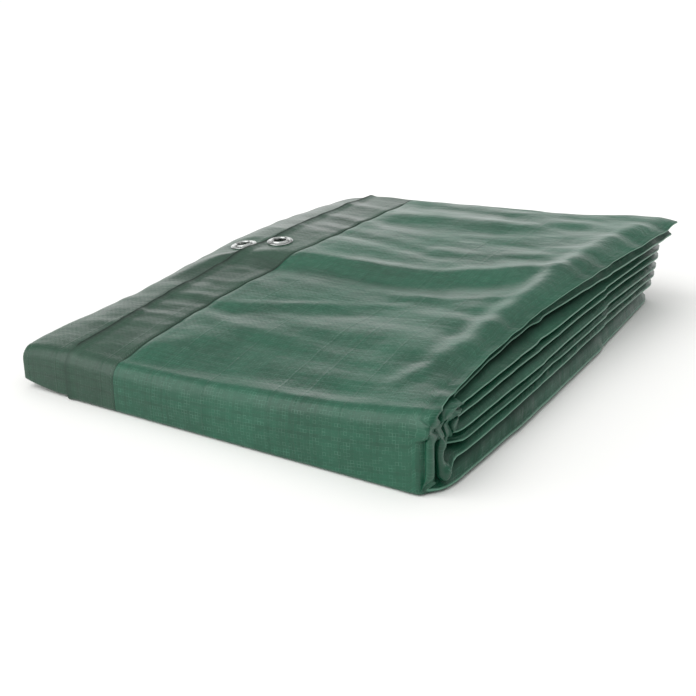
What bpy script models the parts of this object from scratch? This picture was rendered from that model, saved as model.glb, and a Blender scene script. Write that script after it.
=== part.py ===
"""A heavy woven poly tarp, folded flat: doubled hem to hem, pleated back and forth, then folded over once."""
import math

import bpy
import bmesh
import numpy as np
from mathutils import Matrix, Vector

MM = 0.001

# Driving sizes, in millimetres. Distances along the packet are counted from its front. The origin is under the
# middle of the whole outline, which the right-hand folds and the back ends make a little larger than the apron.
PACKET_LENGTH = 470.0
OUTLINE_MIDDLE = (4.7, 246.7)
CLOTH = 1.2
LAYER_GAP = 0.3
PLIES = 8
SEAM_X = -88.0
HEM_EDGE_X = -138.0
UNDER_HEM_EDGE_X = -183.0
UNDER_HEM_TUCK_X = -80.0
TUCK_DROP = 0.5
RIGHT_BLEND_X = 160.0
TOP_CORNER_RADIUS = 12.0
BOTTOM_CORNER_RADIUS = 3.5
FRONT_PITCH_LEFT = 2.3
HEM_LAYERS = 2 * (CLOTH + LAYER_GAP) + TUCK_DROP + LAYER_GAP
EYELET_ROOM = 5.0
SWELL_REACH = 48.0

# The upper face of the top ply: its height at each distance from the front, for seven lines along the packet.
TOP_COLUMNS = (UNDER_HEM_EDGE_X, -172.0, HEM_EDGE_X, SEAM_X, 36.0, 120.0, 150.0)
TOP_ROWS = (
    # from front, under hem edge, beside that edge, hem edge, seam, middle, right of middle, shoulder
    (0, 35.0, 37.0, 38.5, 38.0, 43.0, 50.5, 54.5),
    (60, 39.5, 41.5, 44.0, 44.5, 47.5, 54.5, 57.5),
    (130, 43.5, 46.0, 49.5, 52.0, 53.0, 60.0, 62.5),
    (217, 51.5, 55.0, 59.0, 60.0, 59.0, 65.5, 69.5),
    (275, 57.5, 61.0, 65.5, 65.5, 64.5, 70.0, 74.0),
    (360, 60.5, 64.0, 67.5, 67.5, 70.5, 75.0, 78.5),
    (480, 58.0, 62.5, 69.0, 71.0, 78.0, 79.0, 80.5),
)

# The folds along the right side, from the top fold down. Each row gives the height of the fold's crest and how
# far it reaches in X at four distances from the front, and where its back end lies. The first four are in the
# upper arm of the doubled packet and the last four are the same pleats again in its lower arm.
FOLD_STATIONS = (0, 150, 330, 490)
RIGHT_FOLDS = (
    # height at the four stations, reach at the four stations, back end
    ((55.0, 63.0, 73.5, 78.5), (180, 168, 177, 190), 494),
    ((50.5, 56.5, 61.5, 65.0), (177, 166, 176, 185), 492),
    ((46.0, 48.5, 51.5, 52.5), (180, 179, 178, 180), 494),
    ((40.5, 43.0, 45.5, 45.0), (182, 181, 179, 180), 493),
    ((31.0, 33.5, 36.0, 35.0), (185, 185, 181, 179), 492),
    ((24.0, 27.5, 28.5, 27.0), (187, 187, 182, 178), 491),
    ((16.0, 21.0, 20.5, 18.0), (188, 189, 182, 176), 489),
    ((7.0, 11.0, 9.0, 8.0), (190, 190, 183, 172), 486),
)
WIDEST_FOLD = 3.4
TOP_FOLD = 2.2
TOP_EDGE_X = 172.0

# The same pleats where they turn down the front: how deep each ply stands behind the apron at the right end,
# and how far each pleat reaches in X at the top and at the foot of that turn.
FRONT_DEPTHS = (0, 11, 13.5, 22, 24.5, 31, 33.5, 40)
LOOSE_CORNER_SPAN = (60.0, 178.0)
CORNER_REACH = ((182, 184), (180, 188), (181, 185), (182, 184))
CORNER_REACH_SPAN = (0.1, 0.9)
CORNER_TURN_SHARE = 0.35
LARGEST_CORNER = 0.98

LEFT_FOLD_REACH = (-148.0, -162.0, -170.0)
LOOSE_END_X = -160.0
LEFT_LIFT = 1.5
FRONT_LEFT_LIFT = 4.0
LIFT_REACH = 70.0
PLY_SAMPLES = (-134.0, SEAM_X, -20.0, 50.0, 112.0, 150.0)
ARM_STATIONS = (74, 110, 150, 200, 247, 291, 335, 380, 425, 460, PACKET_LENGTH)
CORNER_STEPS = 3
FOLD_ROOT = 4.0
FOLD_CLEAR = 12.0
FOLD_ROUND = ((0.2, 0.72), (0.5, 1.0), (0.8, 0.72))
FOLD_BULGE = (1.6, 6.0)
FOLD_FULLNESS = 0.42

# Eyelets: a rolled aluminium ring with a 12 mm hole, set through the hem and clenched over a washer.
EYELET_HOLE_RADIUS = 6.0
EYELET_FLANGE_RADIUS = 12.4
EYELET_WALL = 0.6
EYELET_DOME = 1.5
EYELET_RIM = 0.8
EYELET_RIM_HEIGHT = 0.9
EYELET_CREST_RADIUS = 10.2
EYELET_EDGE = 0.5
EYELET_EDGE_HEIGHT = 1.05
WASHER_RADIUS = 11.0
WASHER_THICKNESS = 0.8
CLENCH_RADIUS = 8.2
EYELET_STEPS = 28
UPPER_EYELET = (-123.0, 276.0)
LOWER_EYELET = (-155.5, 262.0)

# The flat cell of each hem that its eyelet is set in, across the hem and along it.
UPPER_CELL = (HEM_EDGE_X, -108.0)
UNDER_CELL = (-170.0, -141.0)
UNDER_CELL_DROP = -131.0
CELL_ALONG = (291, 247)
HOLE_CUT_DEPTH = 6.0

COLOURS = {
    "tarp": ((0.012, 0.105, 0.062, 1.0), 0.42, 0.0),
    "hem": ((0.016, 0.060, 0.042, 1.0), 0.48, 0.0),
    "aluminium": ((0.62, 0.63, 0.64, 1.0), 0.30, 1.0),
}


def eased(stations, values, at):
    """Cubic curve through the values, which stays level past both ends of the stations."""
    if at <= stations[0]:
        return float(values[0])
    if at >= stations[-1]:
        return float(values[-1])
    slopes = np.gradient(np.asarray(values, float), np.asarray(stations, float))
    i = int(np.searchsorted(stations, at, side="right")) - 1
    span = stations[i + 1] - stations[i]
    t = (at - stations[i]) / span
    start, end = values[i], values[i + 1]
    return float(
        (1 + 2 * t) * (1 - t) ** 2 * start + t * (1 - t) ** 2 * span * slopes[i]
        + t * t * (3 - 2 * t) * end - t * t * (1 - t) * span * slopes[i + 1]
    )


def ramp(value, start, end):
    """0 before start, 1 after end, and a smooth step between them."""
    t = min(max((value - start) / (end - start), 0.0), 1.0)
    return t * t * (3 - 2 * t)


def eyelet_swell(along):
    """1 beside the eyelets and 0 away from them: there the hem stands off what lies under it."""
    return math.exp(-(((along - UPPER_EYELET[1]) / SWELL_REACH) ** 2))


def fold_crest(fold, along):
    return eased(FOLD_STATIONS, RIGHT_FOLDS[fold][0], along)


def fold_reach(fold, along):
    return eased(FOLD_STATIONS, RIGHT_FOLDS[fold][1], along)


def right_levels(along):
    """Heights of the sixteen plies at the right side, two to a fold, from the top down."""
    crests = [fold_crest(fold, along) for fold in range(len(RIGHT_FOLDS))]
    room = [a - b for a, b in zip(crests, crests[1:] + [CLOTH / 2 - WIDEST_FOLD])]
    levels = []
    for fold, crest in enumerate(crests):
        above = room[fold - 1] if fold else room[0]
        widest = WIDEST_FOLD if fold else TOP_FOLD
        half = min(widest, min(above, room[fold]) / 2 - CLOTH / 2 - LAYER_GAP)
        levels += [crest + half, crest - half]
    levels[-1] = CLOTH / 2
    return levels


def left_levels(along):
    """Heights of the sixteen plies beside the left-hand folds, evenly spaced under the hems."""
    seam = 1 + TOP_COLUMNS.index(SEAM_X)
    top = eased([row[0] for row in TOP_ROWS], [row[seam] for row in TOP_ROWS], along) - CLOTH / 2
    highest = top - HEM_LAYERS - EYELET_ROOM * eyelet_swell(along)
    lowest = CLOTH / 2 + HEM_LAYERS
    return [top] + list(np.linspace(highest, lowest, 2 * PLIES - 2)) + [CLOTH / 2]


def top_height(x, along):
    """Middle of the top ply's thickness."""
    stations = [row[0] for row in TOP_ROWS]
    columns = [eased(stations, [row[1 + c] for row in TOP_ROWS], along) for c in range(len(TOP_COLUMNS))]
    edge = right_levels(along)[0] + CLOTH / 2
    return eased(TOP_COLUMNS + (TOP_EDGE_X,), columns + [edge], x) - CLOTH / 2


def ply_height(level, x, along):
    """Middle of one ply's thickness: levels 0 to 7 are the upper arm's plies, 8 to 15 the lower arm's."""
    top = top_height(x, along)
    left = left_levels(along)
    right = right_levels(along)
    floor = CLOTH / 2
    left_share = (left[level] - floor) / (left[0] - floor)
    right_share = (right[level] - floor) / (right[0] - floor)
    blend = ramp(x, HEM_EDGE_X, RIGHT_BLEND_X)
    if x < HEM_EDGE_X:
        lift = LEFT_LIFT + FRONT_LEFT_LIFT * math.exp(-along / LIFT_REACH)
        floor += lift * ((HEM_EDGE_X - x) / (HEM_EDGE_X - UNDER_HEM_EDGE_X)) ** 2
    return floor + (top - floor) * (left_share + (right_share - left_share) * blend)


def front_depth(ply, x):
    left = HEM_LAYERS + (ply - 1) * FRONT_PITCH_LEFT if ply else 0.0
    return left + (FRONT_DEPTHS[ply] - left) * ramp(x, *LOOSE_CORNER_SPAN)


def back_end(ply, x, lower):
    fold = PLIES - 1 - ply // 2 if lower else ply // 2
    return PACKET_LENGTH + (RIGHT_FOLDS[fold][2] - PACKET_LENGTH) * ramp(x, *LOOSE_CORNER_SPAN)


def path_stations():
    """Stations along the doubled packet, from the upper arm's back end round the front to the lower one's."""
    arms = list(ARM_STATIONS)
    quarter = [step * math.pi / 2 / CORNER_STEPS for step in range(CORNER_STEPS + 1)]
    return (
        [("upper", along) for along in reversed(arms)]
        + [("top corner", angle) for angle in quarter]
        + [("front", 0.5)]
        + [("bottom corner", angle) for angle in quarter]
        + [("lower", along) for along in arms]
    )


def on_path(ply, x, station, inset=0.0):
    """Middle of a ply at one station: its place along Y, its height, and the way out of the packet there."""
    kind, value = station
    if kind in ("upper", "lower"):
        lower = kind == "lower"
        end = back_end(ply, x, lower)
        along = value if value < PACKET_LENGTH else end
        level = 2 * PLIES - 1 - ply if lower else ply
        out = Vector((0.0, -1.0)) if lower else Vector((0.0, 1.0))
        place = Vector((along, ply_height(level, x, along)))
        return place - out * inset, out
    depth = front_depth(ply, x)
    top = ply_height(ply, x, depth + TOP_CORNER_RADIUS)
    foot = ply_height(2 * PLIES - 1 - ply, x, depth + BOTTOM_CORNER_RADIUS)
    half = (top - foot) / 2
    top_radius = min(TOP_CORNER_RADIUS, LARGEST_CORNER * half)
    foot_radius = min(BOTTOM_CORNER_RADIUS, LARGEST_CORNER * half)
    if kind == "top corner":
        out = Vector((-math.sin(value), math.cos(value)))
        place = Vector((depth + top_radius, top - top_radius)) + out * top_radius
    elif kind == "front":
        out = Vector((-1.0, 0.0))
        upper = top - top_radius
        place = Vector((depth, upper + (foot + foot_radius - upper) * value))
    else:
        out = Vector((-math.cos(value), -math.sin(value)))
        place = Vector((depth + foot_radius, foot + foot_radius)) + out * foot_radius
    return place - out * inset, out


def corner_share(station):
    """0 at the top of the front turn and 1 at its foot."""
    kind, value = station
    if kind == "front":
        return value
    turned_by = value / (math.pi / 2)
    if kind == "top corner":
        return CORNER_TURN_SHARE * turned_by
    return 1.0 - CORNER_TURN_SHARE * (1.0 - turned_by)


def right_reach(ply, station):
    """How far in X the pleat that holds this ply reaches on the right."""
    kind, value = station
    pleat = ply // 2
    if kind == "upper":
        return fold_reach(pleat, value)
    if kind == "lower":
        return fold_reach(PLIES - 1 - pleat, value)
    start, end = CORNER_REACH[pleat]
    return start + (end - start) * ramp(corner_share(station), *CORNER_REACH_SPAN)


def in_space(x, place):
    return Vector(((x - OUTLINE_MIDDLE[0]) * MM, (place.x - OUTLINE_MIDDLE[1]) * MM, place.y * MM))


def ply_faces(ply, x, station):
    """The ply's face that points out of the packet, and the one that points in."""
    middle, out = on_path(ply, x, station)
    return in_space(x, middle + out * CLOTH / 2), in_space(x, middle - out * CLOTH / 2)


def fold_faces(ply, x, side, station):
    """Points round the fold that joins a ply to the next one in: its outer face and its inner one."""
    first_out, first_in = ply_faces(ply, x, station)
    next_out, next_in = ply_faces(ply + 1, x, station)
    bulge = FOLD_FULLNESS * (first_out - next_in).length
    bulge = min(max(bulge, FOLD_BULGE[0] * MM), FOLD_BULGE[1] * MM)
    hollow = min((first_in - next_out).length / 2, bulge - CLOTH * MM / 2)
    points = []
    for share, reach in FOLD_ROUND:
        outer = first_out.lerp(next_in, share) + Vector((side * bulge * reach, 0.0, 0.0))
        inner = first_in.lerp(next_out, share) + Vector((side * hollow * reach, 0.0, 0.0))
        points.append((outer, inner))
    return points


def cloth_section(station):
    """One cut across the pleats, from the seam at the top left to the loose end inside: pairs of face points."""
    pairs = []
    for ply in range(PLIES):
        right = right_reach(ply, station)
        if ply == 0:
            left = SEAM_X
        elif ply == PLIES - 1:
            left = LOOSE_END_X
        else:
            left = LEFT_FOLD_REACH[(ply - 1) // 2]
        xs = [left] + [x for x in PLY_SAMPLES if x > left + FOLD_CLEAR] + [right - FOLD_ROOT]
        outward = ply % 2 == 0
        if not outward:
            xs.reverse()
        for x in xs:
            out_face, in_face = ply_faces(ply, x, station)
            pairs.append((out_face, in_face) if outward else (in_face, out_face))
        if ply == PLIES - 1:
            break
        if outward:
            pairs += fold_faces(ply, right - FOLD_ROOT, 1.0, station)
        else:
            pairs += [(inner, outer) for outer, inner in fold_faces(ply, left, -1.0, station)]
    return pairs


def hem_section(station, xs, inset):
    """One cut across a hem strip, which lies on the outermost ply's path or set in from it."""
    pairs = []
    for x in xs:
        middle, out = on_path(0, x, station, inset(x, station))
        pairs.append((in_space(x, middle + out * CLOTH / 2), in_space(x, middle - out * CLOTH / 2)))
    return pairs


def flatten_cell(sections, rows, columns):
    """Takes the twist out of one cell of a strip, so that the cloth under an eyelet is flat."""
    corners = [[sections[row][column] for column in columns] for row in rows]
    for face in (0, 1):
        z = [[corner[face].z for corner in row] for row in corners]
        twist = (z[0][0] - z[0][1] - z[1][0] + z[1][1]) / 4
        for r in (0, 1):
            for c in (0, 1):
                corners[r][c][face].z -= twist if r == c else -twist


def split_cell(mesh, here, there, i, face):
    """Two triangles for one cell of a face. Every ply is split the same way, so neighbours stay parallel."""
    a, b, c, d = here[i][face], there[i][face], there[i + 1][face], here[i + 1][face]
    halves = ((a, b, c), (a, c, d)) if d.co.x > a.co.x else ((a, b, d), (b, c, d))
    for half in halves:
        mesh.faces.new(half if face == 0 else half[::-1])


def loft(name, sections):
    """One closed solid from sections of face pairs, joined in order, and closed along its edges and ends."""
    mesh = bmesh.new()
    grid = [[(mesh.verts.new(a), mesh.verts.new(b)) for a, b in section] for section in sections]
    for here, there in zip(grid, grid[1:]):
        for i in range(len(here) - 1):
            split_cell(mesh, here, there, i, 0)
            split_cell(mesh, here, there, i, 1)
        mesh.faces.new((here[0][1], there[0][1], there[0][0], here[0][0]))
        mesh.faces.new((here[-1][0], there[-1][0], there[-1][1], here[-1][1]))
    for section, turn in ((grid[0], 1), (grid[-1], -1)):
        for a, b in zip(section, section[1:]):
            mesh.faces.new((a[1], a[0], b[0], b[1])[::turn])
    bmesh.ops.recalc_face_normals(mesh, faces=mesh.faces)
    bmesh.ops.triangulate(mesh, faces=mesh.faces)
    data = bpy.data.meshes.new(name)
    mesh.to_mesh(data)
    mesh.free()
    return bpy.data.objects.new(name, data)


def turned(name, profile):
    """A ring turned about Z from an outline of radii and heights."""
    data = bpy.data.meshes.new(name)
    points = [(radius * MM, 0.0, height * MM) for radius, height in profile]
    edges = [(i, (i + 1) % len(points)) for i in range(len(points))]
    data.from_pydata(points, edges, [])
    ring = bpy.data.objects.new(name, data)
    screw = ring.modifiers.new("Turn", "SCREW")
    screw.steps = EYELET_STEPS
    screw.render_steps = EYELET_STEPS
    screw.use_merge_vertices = True
    screw.merge_threshold = 0.00001
    return ring


def eyelet_profile():
    """Outline of the eyelet, with the cloth's upper face at height 0, from the hole's rim out and down."""
    hole = EYELET_HOLE_RADIUS
    flange = EYELET_FLANGE_RADIUS
    under = LAYER_GAP
    clench = -(CLOTH + WASHER_THICKNESS + 3 * LAYER_GAP)
    return (
        (hole, EYELET_RIM_HEIGHT),
        (hole + EYELET_RIM, EYELET_DOME),
        (EYELET_CREST_RADIUS, EYELET_DOME),
        (flange - EYELET_EDGE, EYELET_EDGE_HEIGHT),
        (flange, under),
        (hole + EYELET_WALL, under),
        (hole + EYELET_WALL, clench),
        (CLENCH_RADIUS, clench),
        (CLENCH_RADIUS, clench - EYELET_WALL),
        (hole, clench - EYELET_WALL),
    )


def washer_profile():
    inner = EYELET_HOLE_RADIUS + EYELET_WALL + LAYER_GAP
    top = -(CLOTH + LAYER_GAP)
    return (
        (inner, top),
        (WASHER_RADIUS, top),
        (WASHER_RADIUS, top - WASHER_THICKNESS),
        (inner, top - WASHER_THICKNESS),
    )


def cell_frame(sections, rows, columns, spot):
    """The place and the tilt of a flat cell's upper face at a spot given in X and distance from the front."""
    a = sections[rows[0]][columns[0]][0]
    b = sections[rows[0]][columns[1]][0]
    c = sections[rows[1]][columns[0]][0]
    normal = (b - a).cross(c - a).normalized()
    if normal.z < 0:
        normal.negate()
    place = in_space(spot[0], Vector((spot[1], 0.0)))
    place.z = a.z - (normal.x * (place.x - a.x) + normal.y * (place.y - a.y)) / normal.z
    return Matrix.Translation(place) @ Vector((0, 0, 1)).rotation_difference(normal).to_matrix().to_4x4()


def material(name):
    colour, roughness, metallic = COLOURS[name]
    made = bpy.data.materials.new(name)
    made.use_nodes = True
    shader = made.node_tree.nodes["Principled BSDF"]
    shader.inputs["Base Color"].default_value = colour
    shader.inputs["Roughness"].default_value = roughness
    shader.inputs["Metallic"].default_value = metallic
    return made


def add(collection, made, finish):
    made.data.materials.append(finish)
    collection.objects.link(made)
    return made


def punch(strip, cutters, frame):
    """Cuts an eyelet's round hole through a hem strip, square to the cloth."""
    radius = (EYELET_HOLE_RADIUS + EYELET_WALL + LAYER_GAP) * MM
    bpy.ops.mesh.primitive_cylinder_add(vertices=EYELET_STEPS, radius=radius, depth=HOLE_CUT_DEPTH * MM)
    cutter = bpy.context.object
    cutter.name = strip.name + "_hole"
    cutter.matrix_world = frame
    cutter.hide_render = True
    cutter.display_type = "WIRE"
    for holder in cutter.users_collection:
        holder.objects.unlink(cutter)
    cutters.objects.link(cutter)
    cut = strip.modifiers.new("Eyelet hole", "BOOLEAN")
    cut.object = cutter
    cut.solver = "EXACT"
    cut.operation = "DIFFERENCE"


def set_eyelet(parts, finish, name, frame):
    for piece, profile in (("eyelet", eyelet_profile()), ("washer", washer_profile())):
        ring = add(parts, turned(piece + "_" + name, profile), finish)
        ring.matrix_world = frame


def under_hem_inset(x, station):
    """How far the under hem lies inside the outer ply's path: more below the eyelet of the hem above it."""
    covered = ramp(x, UNDER_CELL[1], UNDER_CELL_DROP)
    inset = CLOTH + LAYER_GAP + TUCK_DROP * covered
    if station[0] == "upper":
        room = covered * (1.0 - ramp(x, UPPER_CELL[1], SEAM_X))
        inset += EYELET_ROOM * eyelet_swell(station[1]) * room
    return inset


def build():
    for old in list(bpy.data.objects):
        bpy.data.objects.remove(old)
    parts = bpy.data.collections.new("folded tarpaulin")
    cutters = bpy.data.collections.new("cutters")
    for made in (parts, cutters):
        bpy.context.scene.collection.children.link(made)
    finishes = {name: material(name) for name in COLOURS}
    stations = path_stations()

    add(parts, loft("tarp", [cloth_section(station) for station in stations]), finishes["tarp"])

    cell_rows = [stations.index(("upper", along)) for along in CELL_ALONG]
    strips = (
        ("hem_upper", (*UPPER_CELL, SEAM_X - LAYER_GAP), lambda x, station: 0.0, (0, 1), UPPER_EYELET),
        (
            "hem_lower",
            (UNDER_HEM_EDGE_X, *UNDER_CELL, UNDER_CELL_DROP, UPPER_CELL[1], SEAM_X, UNDER_HEM_TUCK_X),
            under_hem_inset,
            (1, 2),
            LOWER_EYELET,
        ),
    )
    for name, xs, inset, cell_columns, spot in strips:
        sections = [hem_section(station, xs, inset) for station in stations]
        flatten_cell(sections, cell_rows, cell_columns)
        strip = add(parts, loft(name, sections), finishes["hem"])
        frame = cell_frame(sections, cell_rows, cell_columns, spot)
        punch(strip, cutters, frame)
        set_eyelet(parts, finishes["aluminium"], name[4:], frame)


build()
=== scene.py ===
import math

import bmesh
import bpy
import numpy as np
from mathutils import Matrix, Vector


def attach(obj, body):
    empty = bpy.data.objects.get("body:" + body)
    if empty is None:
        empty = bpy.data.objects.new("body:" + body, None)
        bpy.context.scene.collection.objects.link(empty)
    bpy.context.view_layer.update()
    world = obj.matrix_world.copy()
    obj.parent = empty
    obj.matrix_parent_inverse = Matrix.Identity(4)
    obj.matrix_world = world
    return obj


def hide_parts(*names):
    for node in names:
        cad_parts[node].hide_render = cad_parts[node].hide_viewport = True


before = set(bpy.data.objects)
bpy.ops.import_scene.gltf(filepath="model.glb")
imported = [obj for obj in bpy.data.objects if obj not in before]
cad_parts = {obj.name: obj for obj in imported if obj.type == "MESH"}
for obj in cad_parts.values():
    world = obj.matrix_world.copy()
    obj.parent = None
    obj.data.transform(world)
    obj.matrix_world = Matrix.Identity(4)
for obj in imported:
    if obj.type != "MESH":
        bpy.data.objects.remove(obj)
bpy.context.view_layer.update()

# The main cloth. A woven tape sheet with a coating on both faces, doubled hem to hem, pleated into a strip of
# eight plies and folded over once at the front. It is one sheet, so its plies are one section carried along
# a U-shaped path. Sizes are millimetres, and distances along the packet are counted from its front.
MM = 0.001
OUTLINE_MIDDLE = (4.7, 246.7)
PACKET_LENGTH = 470.0
CLOTH = 1.2
LAYER_GAP = 0.3
PLIES = 8
HEM_EDGE_X = -138.0
UNDER_HEM_EDGE_X = -183.0
SEAM_X = -88.0
RIGHT_BLEND_X = 160.0
TOP_EDGE_X = 172.0
TOP_CORNER_RADIUS = 12.0
BOTTOM_CORNER_RADIUS = 3.5
LARGEST_CORNER = 0.98
FRONT_PITCH_LEFT = 2.3
TUCK_DROP = 0.5
HEM_LAYERS = 2 * (CLOTH + LAYER_GAP) + TUCK_DROP + LAYER_GAP
EYELET_ROOM = 5.0
SWELL_REACH = 48.0
UPPER_EYELET_ALONG = 276.0

TOP_COLUMNS = (UNDER_HEM_EDGE_X, -172.0, HEM_EDGE_X, SEAM_X, 36.0, 120.0, 150.0)
TOP_ROWS = (
    # from front, under hem edge, beside that edge, hem edge, seam, middle, right of middle, shoulder
    (0, 35.0, 37.0, 38.5, 38.0, 43.0, 50.5, 54.5),
    (60, 39.5, 41.5, 44.0, 44.5, 47.5, 54.5, 57.5),
    (130, 43.5, 46.0, 49.5, 52.0, 53.0, 60.0, 62.5),
    (217, 51.5, 55.0, 59.0, 60.0, 59.0, 65.5, 69.5),
    (275, 57.5, 61.0, 65.5, 65.5, 64.5, 70.0, 74.0),
    (360, 60.5, 64.0, 67.5, 67.5, 70.5, 75.0, 78.5),
    (480, 58.0, 62.5, 69.0, 71.0, 78.0, 79.0, 80.5),
)
FOLD_STATIONS = (0, 150, 330, 490)
RIGHT_FOLDS = (
    # height at the four stations, reach at the four stations, back end, rise above the crest, fall below it
    ((55.0, 63.0, 73.5, 78.5), (180, 168, 177, 190), 494, 2.6, 0.8),
    ((50.5, 56.5, 61.5, 65.0), (177, 166, 176, 185), 492, 8.5, 0.8),
    ((46.0, 48.5, 51.5, 52.5), (180, 179, 178, 180), 494, 4.6, 0.8),
    ((40.5, 43.0, 45.5, 45.0), (182, 181, 179, 180), 493, 4.0, 0.8),
    ((31.0, 33.5, 36.0, 35.0), (185, 185, 181, 179), 492, 5.2, 0.8),
    ((24.0, 27.5, 28.5, 27.0), (187, 187, 182, 178), 491, 5.0, 0.8),
    ((16.0, 21.0, 20.5, 18.0), (188, 189, 182, 176), 489, 5.4, 0.8),
    ((5.5, 8.5, 7.0, 6.5), (190, 190, 183, 172), 486, 6.0, 3.0),
)
FOLD_CLEARANCE = CLOTH + 0.5
CREST_HALF = 0.5
CREST_SHARE = 0.2
FACET_LENGTH = 10.5
BAND_LENGTH = 20.0
FACET_CURVE = 1.35
TURN_CLOSE = 0.35
FRONT_DEPTHS = (0, 11, 13.5, 22, 24.5, 31, 33.5, 40)
LOOSE_CORNER_SPAN = (60.0, 178.0)
CORNER_REACH = ((182, 184), (180, 188), (181, 185), (182, 184))
CORNER_TURN_SHARE = 0.35
CORNER_SWING = (0.1, 0.9)
REACH_JOIN = 40.0
LEFT_FOLD_REACH = (-148.0, -162.0, -170.0)
LOOSE_END_X = -160.0
LEFT_LIFT = 1.5
FRONT_LEFT_LIFT = 4.0
LIFT_REACH = 70.0

# How finely the sheet is drawn: stations along the path, and places across each ply.
UPPER_STATIONS = 128
CORNER_STATIONS = 7
FRONT_STATIONS = 12
LOWER_STATIONS = 84
TOP_PLY_PLACES = 74
EDGE_START = 9.0
EDGE_PLACES = (7.4, 6.0, 4.6, 3.4, 2.2)
SEAM_PLACES = (0.0, 1.0, 2.0)
FACET_PLACES = (45.0, 27.0, 17.0, 11.0, 8.0, 5.4, 3.0)
INNER_PLACES = (-125.0, -60.0, 10.0, 80.0)
FOLD_CLEAR = 8.0
FOLD_ROOT = 1.2
RIGHT_ROUND = ((0.12, 0.55), (0.3, 0.88), (0.5, 1.0), (0.7, 0.88), (0.88, 0.55))
LEFT_ROUND = ((0.2, 0.72), (0.5, 1.0), (0.8, 0.72))


def eased(stations, values, at):
    """Cubic curve through the values, level past both ends. A table of values has a row for each place."""
    stations = np.asarray(stations, float)
    values = np.asarray(values, float)
    at = np.clip(at, stations[0], stations[-1])
    slopes = np.gradient(values, stations, axis=-1)
    left = np.clip(np.searchsorted(stations, at, side="right") - 1, 0, len(stations) - 2)
    span = stations[left + 1] - stations[left]
    t = (at - stations[left]) / span

    def pick(table, column):
        return table[column] if table.ndim == 1 else np.take_along_axis(table, column[:, None], 1)[:, 0]

    return (
        (1 + 2 * t) * (1 - t) ** 2 * pick(values, left) + t * (1 - t) ** 2 * span * pick(slopes, left)
        + t * t * (3 - 2 * t) * pick(values, left + 1) - t * t * (1 - t) * span * pick(slopes, left + 1)
    )


def ramp(value, start, end):
    """0 before start, 1 after end, and a smooth step between them."""
    t = np.clip((value - start) / (end - start), 0.0, 1.0)
    return t * t * (3 - 2 * t)


def fold_levels(along):
    """Heights of the sixteen plies just behind the right-hand folds, from the top down."""
    crests = [eased(FOLD_STATIONS, fold[0], along) for fold in RIGHT_FOLDS]
    levels = []
    for number, (crest, fold) in enumerate(zip(crests, RIGHT_FOLDS)):
        rise, fall = fold[3], fold[4]
        if number:
            rise = np.minimum(rise, levels[-1] - FOLD_CLEARANCE - crest)
        if number + 1 < len(crests):
            fall = np.minimum(fall, (crest - crests[number + 1]) / 2 - FOLD_CLEARANCE / 2)
        levels += [crest + rise, crest - fall]
    levels[-1] = np.full_like(levels[0], CLOTH / 2)
    return levels


def left_levels(along):
    """Heights of the sixteen plies beside the left-hand folds, evenly spaced under the hems."""
    seam = 1 + TOP_COLUMNS.index(SEAM_X)
    top = eased([row[0] for row in TOP_ROWS], [row[seam] for row in TOP_ROWS], along) - CLOTH / 2
    swell = np.exp(-(((along - UPPER_EYELET_ALONG) / SWELL_REACH) ** 2))
    highest = top - HEM_LAYERS - EYELET_ROOM * swell
    lowest = CLOTH / 2 + HEM_LAYERS
    steps = 2 * PLIES - 3
    between = [highest + (lowest - highest) * step / steps for step in range(steps + 1)]
    return [top] + between + [np.full_like(top, CLOTH / 2)]


def top_height(x, along):
    """Middle of the top ply's thickness."""
    stations = [row[0] for row in TOP_ROWS]
    columns = [eased(stations, [row[1 + c] for row in TOP_ROWS], along) for c in range(len(TOP_COLUMNS))]
    columns.append(fold_levels(along)[0] + CLOTH / 2)
    return eased(TOP_COLUMNS + (TOP_EDGE_X,), np.stack(columns, 1), x) - CLOTH / 2


def ply_height(level, x, along):
    """Middle of one ply's thickness: levels 0 to 7 are the upper arm's plies, 8 to 15 the lower arm's."""
    top = top_height(x, along)
    left = left_levels(along)
    right = fold_levels(along)
    floor = CLOTH / 2
    left_share = (left[level] - floor) / (left[0] - floor)
    right_share = (right[level] - floor) / (right[0] - floor)
    blend = ramp(x, HEM_EDGE_X, RIGHT_BLEND_X)
    beyond = np.clip((HEM_EDGE_X - x) / (HEM_EDGE_X - UNDER_HEM_EDGE_X), 0.0, None)
    lifted = floor + (LEFT_LIFT + FRONT_LEFT_LIFT * np.exp(-along / LIFT_REACH)) * beyond**2
    return lifted + (top - lifted) * (left_share + (right_share - left_share) * blend)


# The path: each station is a kind of stretch and how far along that stretch it lies.
QUARTER = math.pi / 2
PATH = (
    [("upper", 1 - step / UPPER_STATIONS) for step in range(UPPER_STATIONS)]
    + [("top corner", step / CORNER_STATIONS) for step in range(CORNER_STATIONS)]
    + [("front", step / FRONT_STATIONS) for step in range(FRONT_STATIONS)]
    + [("bottom corner", step / CORNER_STATIONS) for step in range(CORNER_STATIONS)]
    + [("lower", step / LOWER_STATIONS) for step in range(LOWER_STATIONS + 1)]
)
KIND = np.array([kind for kind, share in PATH])
SHARE = np.array([share for kind, share in PATH])


def front_depth(ply, x):
    left = HEM_LAYERS + (ply - 1) * FRONT_PITCH_LEFT if ply else 0.0
    return left + (FRONT_DEPTHS[ply] - left) * ramp(x, *LOOSE_CORNER_SPAN)


def back_end(ply, x):
    upper, lower = RIGHT_FOLDS[ply // 2][2], RIGHT_FOLDS[PLIES - 1 - ply // 2][2]
    end = np.where(KIND == "lower", lower, upper)
    return PACKET_LENGTH + (end - PACKET_LENGTH) * ramp(x, *LOOSE_CORNER_SPAN)


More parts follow.
